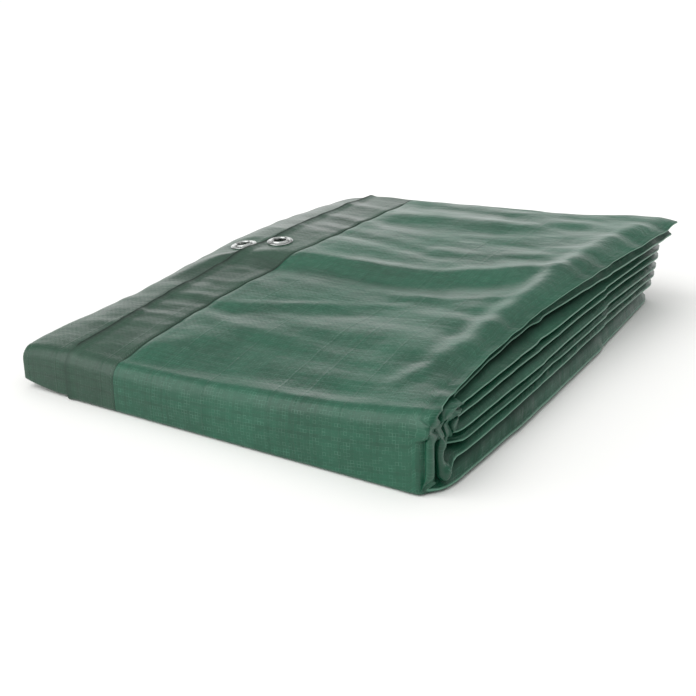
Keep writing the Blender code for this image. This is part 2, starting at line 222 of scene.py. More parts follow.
def corner_share():
    """0 at the top of the front turn and 1 at its foot, for each station."""
    share = np.where(KIND == "lower", 1.0, 0.0)
    share = np.where(KIND == "top corner", CORNER_TURN_SHARE * SHARE, share)
    share = np.where(KIND == "front", CORNER_TURN_SHARE + (1 - 2 * CORNER_TURN_SHARE) * SHARE, share)
    return np.where(KIND == "bottom corner", 1 - CORNER_TURN_SHARE * (1 - SHARE), share)


def nominal_along():
    return np.where((KIND == "upper") | (KIND == "lower"), TOP_CORNER_RADIUS + SHARE * PACKET_LENGTH, 0.0)


def right_reach(ply):
    """How far in X the pleat that holds this ply reaches on the right, at each station."""
    pleat = ply // 2
    along = nominal_along()
    upper = eased(FOLD_STATIONS, RIGHT_FOLDS[pleat][1], along) + fold_wander(pleat, along)
    other = PLIES - 1 - pleat
    lower = eased(FOLD_STATIONS, RIGHT_FOLDS[other][1], along) + fold_wander(other, along)
    start, end = CORNER_REACH[pleat]
    turn = start + (end - start) * ramp(corner_share(), *CORNER_SWING)
    near = ramp(along, 0.0, REACH_JOIN)
    upper = start + (upper - start) * near
    lower = end + (lower - end) * near
    return np.where(KIND == "upper", upper, np.where(KIND == "lower", lower, turn))


# The folds run nearly straight. Each has a few kinks of its own, and the whole stack steps in where the
# packet was once bent across.
FOLD_KINKS = (
    # fold from the top, from front, half width, outwards
    (0, 142, 6.0, 0.7), (0, 205, 6.0, -0.5), (0, 340, 6.0, -0.6), (0, 384, 6.0, 0.7),
    (1, 196, 7.0, 1.8), (1, 332, 7.0, 0.8), (1, 398, 9.0, -0.8),
    (2, 176, 7.0, -0.6), (3, 120, 8.0, -0.5), (3, 205, 6.0, 0.5), (4, 165, 7.0, 0.6),
    (5, 190, 6.0, -0.5), (6, 98, 9.0, 0.4), (7, 134, 8.0, 0.5), (7, 430, 9.0, -0.5),
)
STACK_STEPS = ((166, 4.0, -0.6), (322, 4.0, -1.5))
BACK_ROUNDING = (476, 12.0, -5.0)
FIRST_OF_STACK = 2
WANDER_WAVES = ((131.0, 0.22), (58.0, 0.1))
WANDER_SHIFT = (1.7, 2.3)


def fold_wander(fold, along):
    """How far one fold strays outwards from its even curve."""
    out = np.zeros_like(along)
    for wave, (length, size) in enumerate(WANDER_WAVES):
        shift = WANDER_SHIFT[0] * fold + WANDER_SHIFT[1] * wave * (fold + 1)
        out += size * np.sin(2 * math.pi * along / length + shift)
    for number, place, half_width, outwards in FOLD_KINKS:
        if number == fold:
            out += outwards * np.exp(-(((along - place) / half_width) ** 2))
    if fold >= FIRST_OF_STACK:
        for place, half_width, outwards in STACK_STEPS + (BACK_ROUNDING,):
            out += outwards * ramp(along, place - half_width, place + half_width)
    return out


def on_path(ply, x, inset=0.0):
    """Middle of a ply at every station: distance from the front, height, and the way out of the packet."""
    depth = front_depth(ply, x)
    top = ply_height(ply, x, depth + TOP_CORNER_RADIUS)
    foot = ply_height(2 * PLIES - 1 - ply, x, depth + BOTTOM_CORNER_RADIUS)
    half = (top - foot) / 2
    top_radius = np.minimum(TOP_CORNER_RADIUS, LARGEST_CORNER * half)
    foot_radius = np.minimum(BOTTOM_CORNER_RADIUS, LARGEST_CORNER * half)
    end = back_end(ply, x)
    upper, lower = KIND == "upper", KIND == "lower"
    top_turn, front, foot_turn = KIND == "top corner", KIND == "front", KIND == "bottom corner"

    radius = np.where(upper, top_radius, foot_radius)
    arm = depth + radius + (end - depth - radius) * SHARE
    upper_height = ply_height(ply, x, np.maximum(arm, depth + TOP_CORNER_RADIUS))
    lower_height = ply_height(2 * PLIES - 1 - ply, x, np.maximum(arm, depth + BOTTOM_CORNER_RADIUS))
    turn = SHARE * QUARTER
    sine, cosine = np.sin(turn), np.cos(turn)

    out_along = np.where(front, -1.0, np.where(top_turn, -sine, np.where(foot_turn, -cosine, 0.0)))
    out_up = np.where(top_turn, cosine, np.where(foot_turn, -sine, 0.0))
    out_up = np.where(upper, 1.0, np.where(lower, -1.0, out_up))
    along = np.where(upper | lower, arm, depth)
    along = np.where(top_turn, depth + top_radius + out_along * top_radius, along)
    along = np.where(foot_turn, depth + foot_radius + out_along * foot_radius, along)
    straight = top - top_radius
    height = np.where(upper, upper_height, lower_height)
    height = np.where(top_turn, straight + out_up * top_radius, height)
    height = np.where(front, straight + (foot + foot_radius - straight) * SHARE, height)
    height = np.where(foot_turn, foot + foot_radius + out_up * foot_radius, height)
    return along - out_along * inset, height - out_up * inset, out_along, out_up


def ply_points(ply, x, reach):
    """Points of a ply at every station. Towards its right-hand fold it closes up on the next ply: the upper
    one of the two slopes down to the crest, as a long facet, and the lower one hardly rises."""
    along, height, _, _ = on_path(ply, x)
    points = np.stack([x, along, height], 1)
    mate_along, mate_height, _, _ = on_path(ply + 1 if ply % 2 == 0 else ply - 1, x)
    partner = np.stack([x, mate_along, mate_height], 1)
    turn = (KIND != "upper") & (KIND != "lower")
    uppermost = (KIND == "upper") if ply % 2 == 0 else (KIND == "lower")
    own = np.where(turn, 0.5, np.where(uppermost, CREST_SHARE, 1 - CREST_SHARE))[:, None]
    crest = points * own + partner * (1 - own)
    away = points - crest
    distance = np.maximum(np.linalg.norm(away, axis=1)[:, None], CREST_HALF)
    target = crest + away / distance * CREST_HALF
    length = np.where(KIND == "upper", BAND_LENGTH, FACET_LENGTH) if ply == 0 else FACET_LENGTH
    close = np.clip((x - reach + length) / length, 0.0, 1.0) ** FACET_CURVE
    return points + (target - points) * (close * np.where(turn, TURN_CLOSE, 1.0))[:, None]


def cloth_places():
    """The places across the section, from the seam to the loose end: a ply, and its x at every station."""
    places = []
    for ply in range(PLIES):
        reach = right_reach(ply)
        if ply == 0:
            start = seam_line()
            row = [(ply, start + back) for back in SEAM_PLACES]
            shares = np.linspace(0.0, 1.0, TOP_PLY_PLACES)
            start = start + 2 * SEAM_PLACES[-1]
            row += [(ply, start + (reach - EDGE_START - start) * share) for share in shares]
            row += [(ply, reach - back) for back in EDGE_PLACES + (FOLD_ROOT,)]
        else:
            left = LOOSE_END_X if ply == PLIES - 1 else LEFT_FOLD_REACH[(ply - 1) // 2]
            row = [(ply, np.full(len(PATH), left))]
            row += [(ply, np.full(len(PATH), x)) for x in INNER_PLACES if x > left + FOLD_CLEAR]
            row += [(ply, reach - back) for back in FACET_PLACES + (FOLD_ROOT,)]
        places.append(row if ply % 2 == 0 else row[::-1])
    return places


LEAST_BULGE, MOST_BULGE = 0.7, 3.0


def fold_round(first, second, side, steps):
    """Points round a fold, from the end of one ply to the start of the next."""
    across = np.linalg.norm(second - first, axis=1)[:, None]
    bulge = np.clip(0.5 * across, LEAST_BULGE, MOST_BULGE) * np.array([side, 0.0, 0.0])
    return [first + (second - first) * share + bulge * reach for share, reach in steps]


# The seam and the hem's edge wander a few millimetres.
SEAM_ROWS = (
    # from front, x
    (0, -84), (50, -87), (100, -90), (150, -90), (200, -89), (240, -92), (280, -89), (350, -90), (450, -88),
)


def seam_line():
    rows = np.array(SEAM_ROWS, float)
    return eased(rows[:, 0], rows[:, 1], nominal_along())


# What the packet's top shows: soft ridges and troughs that the sheet settled into, each a line of points.
TOP_CREASES = (
    # height, half width, (x, from front) and so on
    (2.4, 12.0, (
        (-170, 205), (-140, 232), (-105, 250), (-17, 260), (55, 266), (87, 280), (119, 296), (140, 302),
    )),
    (-3.4, 19.0, ((-86, 222), (0, 232), (60, 238), (110, 256))),
    (2.0, 10.0, ((134, 52), (144, 80), (147, 110), (147, 200), (149, 300), (155, 390), (164, 450))),
    (-2.0, 8.0, ((172, 50), (166, 110), (168, 200), (174, 300), (178, 360), (184, 430), (188, 470))),
    (-1.0, 9.0, ((128, 90), (130, 200), (132, 330))),
    (0.8, 7.0, ((-84, 128), (-40, 146), (0, 165))),
    (0.7, 6.0, ((-30, 150), (20, 172), (62, 190))),
    (-0.7, 8.0, ((-60, 120), (0, 142), (50, 160))),
    (0.7, 6.0, ((40, 205), (90, 214), (135, 226))),
    (1.5, 13.0, ((-70, 408), (-30, 414), (60, 416), (86, 430), (112, 442))),
    (-1.5, 16.0, ((-60, 380), (0, 379), (48, 384))),
    (0.9, 9.0, ((20, 320), (80, 326), (112, 336))),
    (-0.8, 10.0, ((60, 350), (100, 360), (140, 372))),
    (0.8, 9.0, ((30, 372), (90, 384), (120, 396))),
    (-0.8, 11.0, ((-80, 330), (-30, 322), (30, 300))),
    (2.6, 24.0, ((-70, 52), (-20, 96), (30, 118), (90, 126), (128, 104))),
    (-2.0, 20.0, ((-70, 12), (-20, 18), (50, 24), (112, 24))),
    (0.7, 7.0, ((40, 455), (80, 462), (120, 470))),
    (-0.6, 9.0, ((-60, 445), (0, 450), (40, 440))),
)
HEM_CREASES = (
    (0.6, 5.0, ((-172, 62), (-134, 70), (-95, 74))),
    (0.7, 4.0, ((-134, 90), (-112, 93), (-92, 92))),
    (-0.4, 5.0, ((-136, 101), (-110, 104))),
    (0.5, 4.5, ((-128, 112), (-112, 115), (-94, 118))),
    (0.9, 5.0, ((-138, 134), (-110, 137), (-94, 134))),
    (-0.5, 5.0, ((-126, 145), (-95, 148))),
    (0.5, 4.5, ((-140, 156), (-118, 160))),
    (0.8, 5.0, ((-132, 172), (-108, 171), (-94, 176))),
    (0.6, 6.0, ((-140, 199), (-112, 203))),
    (-0.7, 7.0, ((-136, 214), (-100, 212))),
    (0.6, 7.0, ((-176, 118), (-160, 128), (-146, 134))),
    (1.2, 8.0, ((-172, 172), (-160, 196), (-150, 225), (-140, 246))),
    (0.6, 6.0, ((-172, 322), (-150, 318), (-140, 312))),
    (0.8, 6.0, ((-132, 328), (-112, 322), (-95, 326))),
    (-0.5, 7.0, ((-134, 350), (-98, 352))),
    (0.6, 7.0, ((-138, 372), (-110, 376), (-95, 372))),
    (0.6, 8.0, ((-138, 420), (-110, 424), (-92, 418))),
)
SEAM_GROOVE = (-0.9, 1.8, tuple((x, along) for along, x in SEAM_ROWS))
CREASE_DEPTH = 20.0
RIPPLES = 14
RIPPLE_SEED = 7
RIPPLE_HEIGHT = 0.1
RIPPLE_LENGTHS = (22.0, 70.0)
RIPPLE_TURN = 0.55
APRON_RIPPLE = 0.5
APRON_CREASES = (
    # outwards, half width, (x, height above the surface) and so on
    (0.5, 2.5, ((0, 4), (1, 40))),
    (-0.7, 7.0, ((-70, 30), (40, 34), (160, 42))),
    (0.6, 8.0, ((-80, 16), (60, 20), (170, 22))),
    (-0.5, 6.0, ((60, 6), (160, 8))),
    (0.5, 10.0, ((120, 4), (128, 46))),
    (-4.0, 2.2, ((179.5, 5), (179, 42))),
)
SIDE_CREASES = (
    # outwards, half width, (from front, height above the surface) and so on
    (1.8, 2.2, ((-2, 49), (6, 43), (19, 33))),
    (-3.0, 3.0, ((2, 46), (16, 43), (32, 42))),
    (1.5, 2.2, ((50, 55), (30, 50), (8, 50))),
    (1.2, 2.0, ((50, 55), (38, 44), (30, 34))),
    (-1.4, 2.0, ((48, 54), (30, 47), (14, 47))),
)
SIDE_SPAN = (168.0, 176.0)
APRON_SPAN = (4.0, 26.0)
APRON_FOOT = (2.0, 8.0)


def line_share(across, up, half_width, points):
    """1 on a line of points and less away from it, in the plane of two coordinates."""
    nearest = np.full(across.shape, np.inf)
    for (x0, y0), (x1, y1) in zip(points, points[1:]):
        dx, dy = x1 - x0, y1 - y0
        t = np.clip(((across - x0) * dx + (up - y0) * dy) / (dx * dx + dy * dy), 0.0, 1.0)
        nearest = np.minimum(nearest, np.hypot(across - x0 - t * dx, up - y0 - t * dy))
    return np.exp(-((nearest / half_width) ** 2))


def ripple(x, along):
    """Fine unevenness of a coated sheet, the same on every run."""
    random = np.random.RandomState(RIPPLE_SEED)
    total = np.zeros_like(x)
    for _ in range(RIPPLES):
        length = random.uniform(*RIPPLE_LENGTHS)
        heading = random.normal(math.pi / 2, RIPPLE_TURN)
        phase = random.uniform(0, 2 * math.pi)
        total += np.sin(2 * math.pi * (x * math.cos(heading) + along * math.sin(heading)) / length + phase)
    return RIPPLE_HEIGHT * total


# The crumpled front corner at the right. The pleats' ends are crushed there into one twisted fan, and soft
# pushes shape the tube and the tab below it and the hole behind them.
FAN_OUTLINE = (
    # from front, height above the surface
    (-8, 51.5), (50, 54.5), (38, 32), (19, 31), (2, 41), (-8, 44),
)
FAN_X = 184.0
FAN_SPAN = (171.0, 175.0)
FAN_EDGE = 2.5
CORNER_PUSHES = (
    # x, from front, height, reach, push in x, push from front, push up
    (185, 34, 27, 7, -9.0, 0.0, 0.0),
    (187, 19, 25, 4, -2.5, 0.0, 0.0),
    (186, 18, 17, 8, 1.5, 0.0, -9.0),
    (187, 4, 5, 6, -7.0, 1.0, 0.0),
)


def fan_share(along, height):
    """1 inside the crushed corner's outline and 0 outside it."""
    share = np.ones_like(along)
    for (a0, z0), (a1, z1) in zip(FAN_OUTLINE, FAN_OUTLINE[1:] + FAN_OUTLINE[:1]):
        length = math.hypot(a1 - a0, z1 - z0)
        inside = ((z1 - z0) * (along - a0) - (a1 - a0) * (height - z0)) / length
        share *= ramp(inside, -FAN_EDGE / 2, FAN_EDGE / 2)
    return share


def settle(points):
    """Lays the creases of the top, the apron and the corner into points given as x, from front, height."""
    x, along, height = points.T.copy()
    depth = np.clip(top_height(x, along) - height, 0.0, None)
    share = np.exp(-((depth / CREASE_DEPTH) ** 2)) * ramp(along, *APRON_SPAN)
    rise = ripple(x, along)
    for size, half_width, line in TOP_CREASES + HEM_CREASES + (SEAM_GROOVE,):
        rise = rise + size * line_share(x, along, half_width, line)
    forward = APRON_RIPPLE * ripple(x, height)
    for size, half_width, line in APRON_CREASES:
        forward += size * line_share(x, height, half_width, line)
    forward *= (1.0 - ramp(along, *APRON_SPAN)) * ramp(height, *APRON_FOOT)
    sideways = (FAN_X - x) * fan_share(along, height) * ramp(x, *FAN_SPAN)
    for size, half_width, line in SIDE_CREASES:
        sideways += size * line_share(along, height, half_width, line) * ramp(x, *SIDE_SPAN)
    moved = np.stack([x + sideways, along - forward, height + rise * share], 1)
    for cx, ca, cz, reach, dx, da, dz in CORNER_PUSHES:
        near = np.exp(-(((x - cx) ** 2 + (along - ca) ** 2 + (height - cz) ** 2) / reach**2))
        moved += near[:, None] * np.array([dx, da, dz])
    moved[:, 2] = np.maximum(moved[:, 2], CLOTH / 2)
    return moved


SHEET_SHARP = 55.0


def sheet_mesh(name, columns, painted_light, thickness, press=None):
    """A sheet from columns of points, one column for each place across it, with its real lengths as its UVs.
    Its points keep their painted light: above 0 a painted highlight along a fold, below 0 painted shade in a
    dark line."""
    grid = np.stack(columns, 1)
    rows, across = grid.shape[:2]
    grid = settle(grid.reshape(-1, 3)).reshape(grid.shape)
    if press:
        grid = press(grid)
    steps = np.linalg.norm(np.diff(grid, axis=1), axis=2)
    u = np.concatenate([[0.0], np.cumsum(np.median(steps[: UPPER_STATIONS], axis=0))])
    runs = np.linalg.norm(np.diff(grid, axis=0), axis=2)
    v = np.concatenate([np.zeros((1, across)), np.cumsum(runs, axis=0)])
    v -= v[UPPER_STATIONS + CORNER_STATIONS]
    world = (grid - np.array([OUTLINE_MIDDLE[0], OUTLINE_MIDDLE[1], 0.0])) * MM
    faces = [
        (r * across + c, r * across + c + 1, (r + 1) * across + c + 1, (r + 1) * across + c)
        for r in range(rows - 1)
        for c in range(across - 1)
    ]
    data = bpy.data.meshes.new(name)
    data.from_pydata(world.reshape(-1, 3).tolist(), [], faces)
    layer = data.uv_layers.new(name="Cloth")
    index = np.empty(len(data.loops), int)
    data.loops.foreach_get("vertex_index", index)
    uv = np.stack([np.broadcast_to(u, v.shape), v], 2).reshape(-1, 2) * MM
    layer.data.foreach_set("uv", uv[index].ravel())
    # Painted light for each point: a painted highlight above 0 and painted shade below 0.
    painted_light_layer = data.attributes.new("PaintedLight", "FLOAT", "POINT")
    painted_light_layer.data.foreach_set("value", np.broadcast_to(painted_light, (rows, across)).ravel())
    made = bpy.data.objects.new(name, data)
    bpy.context.scene.collection.objects.link(made)
    wall = made.modifiers.new("Thickness", "SOLIDIFY")
    wall.thickness = thickness * MM
    wall.offset = 0.0
    finish_mesh(made, SHEET_SHARP)
    return made


def finish_mesh(made, sharp_angle):
    """Applies a piece's modifiers and smooths it, with edges above the angle left sharp."""
    bpy.ops.object.select_all(action="DESELECT")
    made.select_set(True)
    bpy.context.view_layer.objects.active = made
    for modifier in list(made.modifiers):
        bpy.ops.object.modifier_apply(modifier=modifier.name)
    bpy.ops.object.shade_smooth_by_angle(angle=math.radians(sharp_angle))


# Painted light on the sheet: a painted highlight along the outermost part of each fold, less at the front
# turn, and painted shade on the facets that run back into the crevices.
PAINTED_LIGHT_IN_CORNER = 0.1
CREST_FROM = 0.8
FACET_SHADE = (-0.6, -0.6, -0.6, -0.5, -0.35, -0.15, 0.0, 0.0)


def cloth_columns():
    """The columns of the whole section, and their painted light: a painted highlight along the folds above 0,
    painted shade in the crevices below 0.
    """
    columns, painted_light = [], []
    for ply, row in enumerate(cloth_places()):
        reach = right_reach(ply)
        points = [ply_points(number, x, reach) for number, x in row]
        if columns:
            side, steps = (1.0, RIGHT_ROUND) if ply % 2 else (-1.0, LEFT_ROUND)
            columns += fold_round(columns[-1], points[0], side, steps)
            # Painted highlight along the outermost part of each fold.
            painted_light += [max(0.0, (out - CREST_FROM) / (1.0 - CREST_FROM)) for _, out in steps]
        columns += points
        # Painted shade on the facets that run back into the crevices, none at the crest.
        shade = [FACET_SHADE[0]] * (len(points) - len(FACET_SHADE)) + list(FACET_SHADE)
        painted_light += [0.0] * len(points) if ply == 0 else shade[:: -1 if ply % 2 else 1]
    closed = (KIND == "upper") | (KIND == "lower")
    return columns, np.outer(np.where(closed, 1.0, PAINTED_LIGHT_IN_CORNER), painted_light)


SHEET_THICKNESS = 0.9
tarp_cloth = sheet_mesh("tarp_cloth", *cloth_columns(), SHEET_THICKNESS)


def linear(code):
    """A colour given as a screen's hex code, in the linear values that a shader takes."""
    parts = [int(code[i : i + 2], 16) / 255 for i in (1, 3, 5)]
    return tuple(c / 12.92 if c <= 0.04045 else ((c + 0.055) / 1.055) ** 2.4 for c in parts) + (1.0,)


def fit(tree, kind, settings, links=()):
    """Adds a node. Settings are its properties or its sockets' values; links feed its sockets."""
    made = tree.nodes.new(kind)
    for key, value in settings.items():
        if isinstance(key, int) or key in made.inputs:
            made.inputs[key].default_value = value
        else:
            setattr(made, key, value)
    for key, (source, output) in dict(links).items():
        tree.links.new(source.outputs[output], made.inputs[key])
    return made


# Woven and coated polyethylene. Flat tapes 2.5 mm wide cross over and under, and a thin coating lies over
# them: the eye sees a small uneven grain of single tapes with painted glints along some of their borders,
# faint straight creases where the sheet was folded before, a painted highlight along the folds and painted
# shade in the crevices, and a wet sheen at low angles.
TAPE = 2.5
TAPE_RELIEF = 0.00014
CROSSING_SHARE, PIECE_SHARE, GRIT_SHARE = 0.2, 0.7, 0.6
GRIT_PER_METRE = 900.0
DENT_RELIEF = 0.0009
DENTS_PER_METRE = (34.0, 70.0, 1.0)
OLD_CREASES_PER_METRE = 24.0
OLD_CREASE_WIDTH, OLD_CREASE_HEIGHT = 0.03, 0.14
CLOUDS_PER_METRE = 14.0
CLOUD_SHADE = (-0.2, 0.5)
TAPE_SHADE = 0.35
GLINT_LINE_WIDTH, PAINTED_GLINT_SHARE = 0.4, 0.26
PAINTED_HIGHLIGHT_SHARE = 0.55
DARKEST, DULLEST = 0.1, 0.95
GLOSS_SPREAD = (-0.05, 0.07)
COATING_IOR = 1.51


def woven_poly(name, main, worn, glint, roughness):
    made = bpy.data.materials.new(name)
    made.use_nodes = True
    tree = made.node_tree
    shader = tree.nodes["Principled BSDF"]
    uv = fit(tree, "ShaderNodeUVMap", {"uv_map": "Cloth"})
    tapes = fit(tree, "ShaderNodeMapping", {"Scale": (1 / (TAPE * MM),) * 3}, {"Vector": (uv, 0)})
    number = fit(tree, "ShaderNodeVectorMath", {"operation": "FLOOR"}, {0: (tapes, 0)})
    numbers = fit(tree, "ShaderNodeSeparateXYZ", {}, {0: (number, 0)})
    halves = fit(tree, "ShaderNodeVectorMath", {"operation": "SCALE", "Scale": math.pi}, {0: (tapes, 0)})
    waves = fit(tree, "ShaderNodeVectorMath", {"operation": "SINE"}, {0: (halves, 0)})
    crown = fit(tree, "ShaderNodeVectorMath", {"operation": "ABSOLUTE"}, {0: (waves, 0)})
    crowns = fit(tree, "ShaderNodeSeparateXYZ", {}, {0: (crown, 0)})
    total = fit(tree, "ShaderNodeMath", {"operation": "ADD"}, {0: (numbers, 0), 1: (numbers, 1)})
    over = fit(tree, "ShaderNodeMath", {"operation": "PINGPONG", 1: 1.0}, {0: (total, 0)})
    weave = fit(tree, "ShaderNodeMix", {"data_type": "FLOAT"}, {0: (over, 0), 2: (crowns, 1), 3: (crowns, 0)})
    warp = fit(tree, "ShaderNodeTexWhiteNoise", {"noise_dimensions": "1D"}, {"W": (numbers, 0)})
    weft = fit(tree, "ShaderNodeTexWhiteNoise", {"noise_dimensions": "1D"}, {"W": (numbers, 1)})
    cell = fit(tree, "ShaderNodeTexWhiteNoise", {"noise_dimensions": "2D"}, {"Vector": (number, 0)})
    tape = fit(tree, "ShaderNodeMath", {"operation": "ADD"}, {0: (warp, 0), 1: (weft, 0)})

    cloud = fit(tree, "ShaderNodeTexNoise", {"Scale": CLOUDS_PER_METRE, "Detail": 4.0}, {"Vector": (uv, 0)})
    low, high = CLOUD_SHADE
    shade = fit(tree, "ShaderNodeMapRange", {1: 0.35, 2: 0.65, 3: low, 4: high}, {0: (cloud, 0)})
    tone = fit(
        tree, "ShaderNodeMath", {"operation": "MULTIPLY_ADD", 1: TAPE_SHADE}, {0: (tape, 0), 2: (shade, 0)}
    )
    colour = fit(
        tree, "ShaderNodeMix", {"data_type": "RGBA", 6: linear(main), 7: linear(worn)}, {0: (tone, 0)}
    )
    # The sheet's painted light: painted highlights above 0 and painted shade below 0.
    painted_light = fit(tree, "ShaderNodeAttribute", {"attribute_name": "PaintedLight"})
    # Painted glints: thin pale lines along the borders of some tapes.
    border = fit(tree, "ShaderNodeMath", {"operation": "MINIMUM"}, {0: (crowns, 0), 1: (crowns, 1)})
    line = fit(tree, "ShaderNodeMapRange", {1: 0.0, 2: GLINT_LINE_WIDTH, 3: 1.0, 4: 0.0}, {0: (border, 0)})
    some = fit(tree, "ShaderNodeMapRange", {1: 0.5, 2: 1.0, 3: 0.0, 4: PAINTED_GLINT_SHARE}, {0: (cell, 0)})
    painted_glints = fit(tree, "ShaderNodeMath", {"operation": "MULTIPLY"}, {0: (line, 0), 1: (some, 0)})
    painted_highlight_mix = {"operation": "MULTIPLY_ADD", 1: PAINTED_HIGHLIGHT_SHARE}
    painted_highlight = fit(tree, "ShaderNodeMath", painted_highlight_mix, {0: (painted_light, 2), 2: (painted_glints, 0)})
    lit = fit(tree, "ShaderNodeMix", {"data_type": "RGBA", 7: linear(glint)}, {0: (painted_highlight, 0), 6: (colour, 2)})
    # Painted shade: the colour is darkened where the painted light is below 0.
    painted_shade = fit(tree, "ShaderNodeMapRange", {1: -1.0, 2: 0.0, 3: DARKEST, 4: 1.0}, {0: (painted_light, 2)})
    seen = fit(tree, "ShaderNodeVectorMath", {"operation": "SCALE"}, {0: (lit, 2), "Scale": (painted_shade, 0)})
    glossy, matt = roughness + GLOSS_SPREAD[0], roughness + GLOSS_SPREAD[1]
    gloss = fit(tree, "ShaderNodeMapRange", {1: 0.3, 2: 0.7, 3: glossy, 4: matt}, {0: (cloud, 0)})
    dull = fit(tree, "ShaderNodeMix", {"data_type": "FLOAT", 2: DULLEST}, {0: (painted_shade, 0), 3: (gloss, 0)})

    grit = fit(tree, "ShaderNodeTexNoise", {"Scale": GRIT_PER_METRE, "Detail": 2.0}, {"Vector": (uv, 0)})
    grain = tape
    for share, part in ((CROSSING_SHARE, weave), (PIECE_SHARE, cell), (GRIT_SHARE, grit)):
        grain = fit(
            tree, "ShaderNodeMath", {"operation": "MULTIPLY_ADD", 1: share}, {0: (part, 0), 2: (grain, 0)}
        )
    stretched = fit(tree, "ShaderNodeMapping", {"Scale": DENTS_PER_METRE}, {"Vector": (uv, 0)})
    dents = fit(tree, "ShaderNodeTexNoise", {"Scale": 1.0, "Detail": 5.0}, {"Vector": (stretched, 0)})
    flat = fit(tree, "ShaderNodeSeparateXYZ", {}, {0: (uv, 0)})
    lines = {"voronoi_dimensions": "1D", "feature": "DISTANCE_TO_EDGE", "Scale": OLD_CREASES_PER_METRE}
    creases = fit(tree, "ShaderNodeTexVoronoi", lines, {"W": (flat, 0)})
    height = {1: 0.0, 2: OLD_CREASE_WIDTH, 3: OLD_CREASE_HEIGHT, 4: 0.0}
    crease = fit(tree, "ShaderNodeMapRange", height, {0: (creases, 0)})
    shape = fit(tree, "ShaderNodeMath", {"operation": "ADD"}, {0: (dents, 0), 1: (crease, 0)})
    soft = fit(tree, "ShaderNodeBump", {"Strength": 1.0, "Distance": DENT_RELIEF}, {"Height": (shape, 0)})
    fine = {"Strength": 1.0, "Distance": TAPE_RELIEF}
    bump = fit(tree, "ShaderNodeBump", fine, {"Height": (grain, 0), "Normal": (soft, 0)})
    tree.links.new(seen.outputs[0], shader.inputs["Base Color"])
    tree.links.new(dull.outputs[0], shader.inputs["Roughness"])
    tree.links.new(bump.outputs[0], shader.inputs["Normal"])
    shader.inputs["IOR"].default_value = COATING_IOR
    return made


cloth_finish = woven_poly("coated green weave", "#05402C", "#0E523B", "#7DB39A", 0.37)
tarp_cloth.data.materials.append(cloth_finish)
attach(tarp_cloth, "root")
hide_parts("tarp")

# The two hems. Each is the sheet's own edge, turned over, doubled and sewn, in a greyer green. The upper one
# ends in a free edge above the lower one, which reaches further left and is tucked under the seam.
HEM_EDGE_ROWS = (
    # from front, x
    (0, -133), (50, -135), (100, -139), (150, -141), (200, -140), (245, -138), (276, -138), (310, -136),
    (350, -139), (400, -140), (450, -139),
)
UNDER_EDGE_ROWS = (
    (0, -181), (50, -183), (100, -180), (150, -179), (200, -178), (250, -180), (300, -181), (350, -182),
    (450, -181),
)
HEM_PLACES = 26
UNDER_TUCK_X = -100.0
UNDER_DROP_SPAN = (-141.0, -131.0)
ROOM_END_X = -108.0
EYELET_DOME = 1.5
FLAT_RADII = (13.5, 24.0)
PUNCH_RADIUS = 6.9
PUNCH_STEPS = 56
PUNCH_DEPTH = 8.0
PUNCHED_SHARP = 40.0
CURL_HEIGHT = 1.8
CURL_SPAN = 9.0
FRONT_CURL_SHARE = 0.45
EDGE_DIP = 2.2
EDGE_DIP_SPAN = 3.2


def edge_line(rows):
    table = np.array(rows, float)
    return eased(table[:, 0], table[:, 1], nominal_along())


def strip_columns(starts, ends, inset):
    """A hem strip's columns, from one edge line to the other, set in from the top ply's path."""
    columns = []
    for place in range(HEM_PLACES):
        x = starts + (ends - starts) * place / (HEM_PLACES - 1)
        along, height, _, _ = on_path(0, x, inset(x))
        columns.append(np.stack([x, along, height], 1))
    return columns


def upper_inset(x):
    """The upper hem lies on the top ply's path, and its free edge curls up off the hem below it."""
    curl = 1.0 - ramp(x, hem_edge, hem_edge + CURL_SPAN)
    return -CURL_HEIGHT * curl * np.where(KIND == "upper", 1.0, FRONT_CURL_SHARE)


def under_inset(x):
    """How far the under hem lies inside the top ply's path: more below the eyelet of the hem above it, and
    along that hem's free edge, which has pressed a dip into it."""
    covered = ramp(x, *UNDER_DROP_SPAN)
    above = np.where(KIND == "upper", 1.0, 0.0)
    swell = above * np.exp(-(((nominal_along() - UPPER_EYELET_ALONG) / SWELL_REACH) ** 2))
    room = EYELET_ROOM * swell * covered * (1.0 - ramp(x, ROOM_END_X, SEAM_X))
    dip = EDGE_DIP * above * np.exp(-(((x - hem_edge) / EDGE_DIP_SPAN) ** 2))
    return CLOTH + LAYER_GAP + TUCK_DROP * covered + room + dip


def eyelet_frame(node):
    """Place and tilt of an eyelet, read from its solid, with the hem's upper face at height 0."""
    corners = np.array([vertex.co[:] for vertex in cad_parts[node].data.vertices])
    centre = corners.mean(0)
    _, axes = np.linalg.eigh(np.cov((corners - centre).T))
    normal = axes[:, 0] * np.sign(axes[2, 0])
    heights = (corners - centre) @ normal
    place = Vector(centre + normal * (heights.max() - EYELET_DOME * MM))
    tilt = Vector((0, 0, 1)).rotation_difference(Vector(normal)).to_matrix().to_4x4()
    return Matrix.Translation(place) @ tilt


def pressed_flat(grid, eyelet):
    """The hem's cloth lies flat where its eyelet clamps it."""
    there = np.array(eyelet.inverted())
    back = np.array(eyelet)
    shift = np.array([OUTLINE_MIDDLE[0], OUTLINE_MIDDLE[1], 0.0])
    local = ((grid - shift) * MM) @ there[:3, :3].T + there[:3, 3]
    flat = 1.0 - ramp(np.hypot(local[..., 0], local[..., 1]) / MM, *FLAT_RADII)
    flat = flat * (np.abs(local[..., 2]) < 2 * PUNCH_DEPTH * MM)
    local[..., 2] += (-CLOTH / 2 * MM - local[..., 2]) * flat
    return (local @ back[:3, :3].T + back[:3, 3]) / MM + shift


